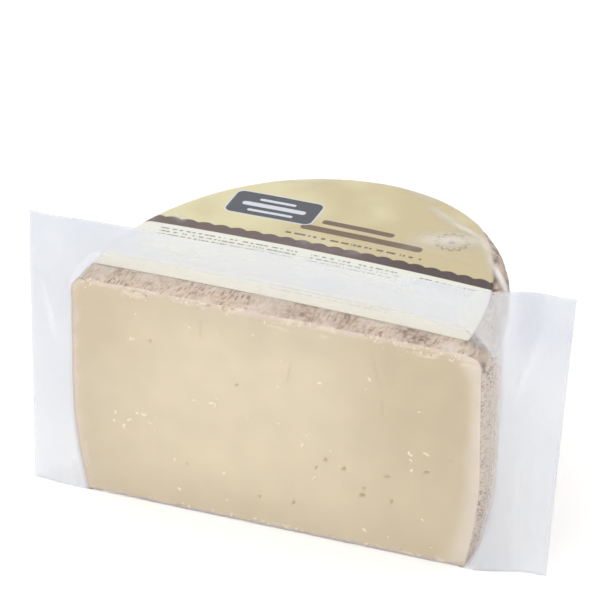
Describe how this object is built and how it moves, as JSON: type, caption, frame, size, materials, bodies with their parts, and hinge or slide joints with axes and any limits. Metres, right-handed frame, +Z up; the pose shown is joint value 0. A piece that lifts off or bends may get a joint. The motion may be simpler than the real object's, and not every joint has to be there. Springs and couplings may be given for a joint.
{
  "type": "vacuum-packed half wheel of aged sheep cheese",
  "caption": "Half wheel of aged sheep cheese with its cut side flat, a paper label on top and a clear vacuum bag whose welded border stands in the plane of the cut.",
  "frame": {"origin": "middle of the footprint's bounding box, on the surface that the pack stands on", "axes": "+Z up, +X to the right along the cut, and the cut faces -Y"},
  "size_m": [0.2348, 0.123, 0.1325],
  "materials": {
    "cheese": "smooth ivory paste with a pinkish brown rind",
    "label": "printed paper in yellow and cream with a brown band",
    "film": "clear film, milky where its two sheets are welded"
  },
  "bodies": {
    "root": {"cheese_half": "cheese", "paper_label": "label", "vacuum_film": "film"}
  },
  "joints": []
}
